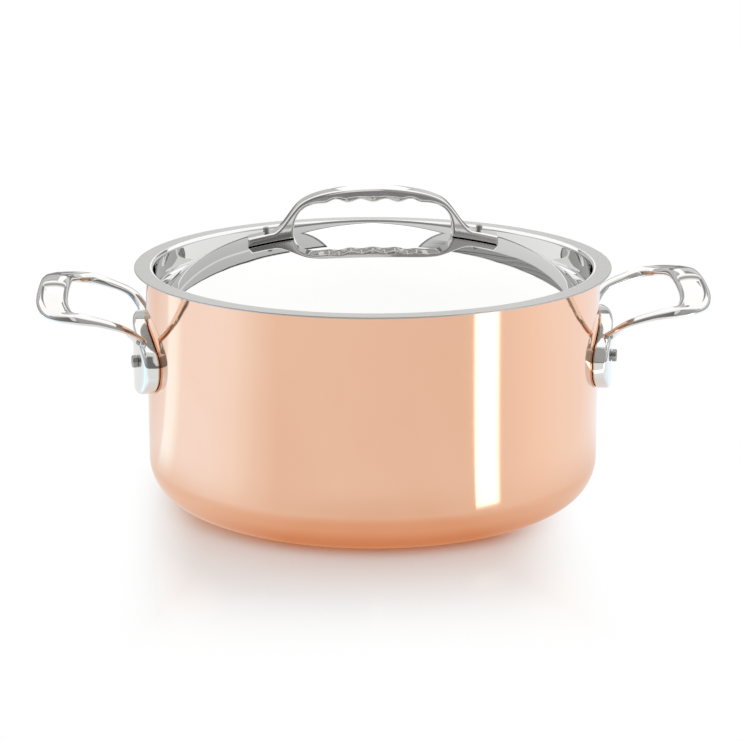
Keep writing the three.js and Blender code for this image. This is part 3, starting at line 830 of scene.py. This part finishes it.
# Studio room: white overhead and behind, with grey walls low down that only polished metal shows. The walls end in
# a line that is lowest right behind the pot, where a white gap is left between them, and the wall on the right has
# dark slanting folds. In front the room is dark, up to a lighter ceiling.
back_turn = math.radians(3)
softbox = 1.26
ceiling_grey = 0.82
wall_edge = (-0.3, 0.3)
gap_reach = 4.3
gap_slope = 1.85
gap_foot = 1.3
gap_narrowing = 0.3
gap_edge = (-0.06, 0.06)
gap_line = (0.0, 0.05, 0.14, 0.26)
gap_line_depth = 0.45
ceiling_edge = (-2.0, 6.0)
fold_slant = (0.5, 0.45)
fold_levels = (0.42, 0.6)
fold_depths = (0.28, 0.56)
fold_bearings = (4.0, 7.0, 36.0, 42.0)
fold_heights = (16.2, 17.0)
line_heights = (-1.2, -0.8, -0.5, 0.2)
line_bearings = (0.0, 4.0, 40.0, 60.0)
line_turn = (-2.0, 2.0)
line_depths = (0.6, 0.1)
pale_heights = (14.0, 14.7, 15.5, 16.2)
pale_bearings = (-34.0, -30.0, -8.0, -5.0)
pale_strength = 0.25
# Heights in degrees by the share of a half turn from the back, and then by the share of a whole turn from the front
wall_tops = [(0, 24), (0.044, 23.8), (0.06, 23.3), (0.085, 24.6), (0.111, 25.0), (0.139, 23.4), (0.156, 21.2),
             (0.168, 18.8), (0.2, 15), (0.5, 20), (0.62, 60), (0.75, 78), (1, 78)]
dark_tops = [(0, 9), (0.006, 30), (0.014, 60), (0.05, 62), (0.1, 50), (0.2, 25), (0.27, 80),
             (0.73, 80), (0.8, 25), (0.88, 60), (0.9, 75), (0.96, 75), (0.985, 9), (1, 9)]
wall_greys = [(0, 0.17), (0.06, 0.2), (0.15, 0.3), (0.25, 0.57), (0.475, 0.57), (0.525, 0.72), (0.75, 0.72),
              (0.85, 0.42), (0.96, 0.42), (1, 0.17)]

world = bpy.data.worlds.new("studio")
bpy.context.scene.world = world
world.use_nodes = True
tree = world.node_tree
axes = place(tree, "ShaderNodeSeparateXYZ", {0: place(tree, "ShaderNodeTexCoord").outputs["Generated"]}).outputs
bearing = maths(tree, "SUBTRACT", maths(tree, "ARCTAN2", axes["X"], axes["Y"]), back_turn)
bearing = maths(tree, "MULTIPLY", bearing, 180 / math.pi)
aside = maths(tree, "ABSOLUTE", bearing)
climb = maths(tree, "MULTIPLY", maths(tree, "ARCSINE", axes["Z"]), 180 / math.pi)


def skyline(value, stops):
    """A height in degrees that follows its stops."""
    return maths(tree, "MULTIPLY", 90.0, ramp(tree, value, [(at, height / 90) for at, height in stops]))


# The upper line of the walls, and the gap between them
wall_top = skyline(maths(tree, "DIVIDE", aside, 180.0), wall_tops)
above = maths(tree, "SUBTRACT", climb, wall_top)
sky = spread(tree, above, *wall_edge, 0.0, 1.0, "SMOOTHSTEP")
past_gap = maths(tree, "SUBTRACT", aside, gap_reach)
under_gap = maths(tree, "SUBTRACT", maths(tree, "MULTIPLY_ADD", aside, gap_slope, gap_foot), climb)
past_gap = maths(tree, "MAXIMUM", past_gap, maths(tree, "MULTIPLY", under_gap, gap_narrowing))
gap = spread(tree, past_gap, *gap_edge, 1.0, 0.0, "SMOOTHSTEP")

# The greys of the walls round the room, and the ceiling over its dark front
share = spread(tree, bearing, -180.0, 180.0, 0.0, 1.0)
grey = ramp(tree, share, wall_greys)
dark_top = skyline(share, dark_tops)
ceiling = spread(tree, maths(tree, "SUBTRACT", climb, dark_top), *ceiling_edge, 0.0, 1.0, "SMOOTHSTEP")
grey = place(tree, "ShaderNodeMix", {0: ceiling, 2: grey, 3: ceiling_grey}, data_type="FLOAT").outputs[0]

# The folds of the wall on the right
slant = maths(tree, "ADD", maths(tree, "MULTIPLY", bearing, fold_slant[0]),
              maths(tree, "MULTIPLY", climb, fold_slant[1]))
fold_at = place(tree, "ShaderNodeCombineXYZ", {"X": slant}).outputs[0]
folds = place(tree, "ShaderNodeTexNoise", {"Vector": fold_at, "Scale": 1.6, "Detail": 3.0}).outputs["Fac"]
folds = maths(tree, "MULTIPLY", spread(tree, folds, *fold_levels, *fold_depths), band(tree, bearing, *fold_bearings))
folds = maths(tree, "MULTIPLY", folds, spread(tree, climb, *fold_heights, 0.0, 1.0, "SMOOTHSTEP"))
grey = maths(tree, "SUBTRACT", grey, folds)

# A dark line along the walls' top and beside the gap, and a pale strip across the wall on the left
line = maths(tree, "MULTIPLY", band(tree, above, *line_heights), band(tree, aside, *line_bearings))
line = maths(tree, "MULTIPLY", line, spread(tree, bearing, *line_turn, *line_depths))
line = maths(tree, "ADD", line, maths(tree, "MULTIPLY", band(tree, past_gap, *gap_line), gap_line_depth))
pale = maths(tree, "MULTIPLY", band(tree, climb, *pale_heights), band(tree, bearing, *pale_bearings))
grey = maths(tree, "ADD", maths(tree, "SUBTRACT", grey, line), maths(tree, "MULTIPLY", pale, pale_strength))

# Polished metal shows the room, and anything else has plain white round it
level = maths(tree, "MAXIMUM", maths(tree, "MULTIPLY", maths(tree, "MAXIMUM", sky, gap), softbox), grey)
rays = place(tree, "ShaderNodeLightPath").outputs
level = place(tree, "ShaderNodeMix", {0: rays["Is Glossy Ray"], 2: 1.0, 3: level}, data_type="FLOAT").outputs[0]
tree.links.new(level, tree.nodes["Background"].inputs["Color"])

# Soft overhead light from behind, which lays the pot's shadow on the table in front of it
lamp = bpy.data.lights.new("overhead", "AREA")
lamp.shape = "RECTANGLE"
lamp.size = 1.2
lamp.size_y = 0.8
lamp.energy = 5
overhead = bpy.data.objects.new("overhead", lamp)
overhead.location = (0.15, 0.7, 1.3)
overhead.rotation_euler = (Vector((0, 0, 0)) - overhead.location).to_track_quat("-Z", "Y").to_euler()
overhead.visible_glossy = False
bpy.context.scene.collection.objects.link(overhead)

# Camera: a long lens, a little above the lid and a little left of square on
view_distance = 1.338
view_height = math.radians(14.6)
view_turn = math.radians(-3.0)
aim = Vector((-0.00125, 0, 0.0669))
lens = bpy.data.cameras.new("camera")
lens.sensor_width = 36
lens.lens = 119.37
camera = bpy.data.objects.new("camera", lens)
camera.location = Vector((0, 0, aim.z)) + view_distance * Vector((
    math.cos(view_height) * math.sin(view_turn), -math.cos(view_height) * math.cos(view_turn), math.sin(view_height)))
camera.rotation_euler = (aim - camera.location).to_track_quat("-Z", "Y").to_euler()
bpy.context.scene.collection.objects.link(camera)
bpy.context.scene.camera = camera
bpy.context.scene.view_settings.view_transform = "Standard"
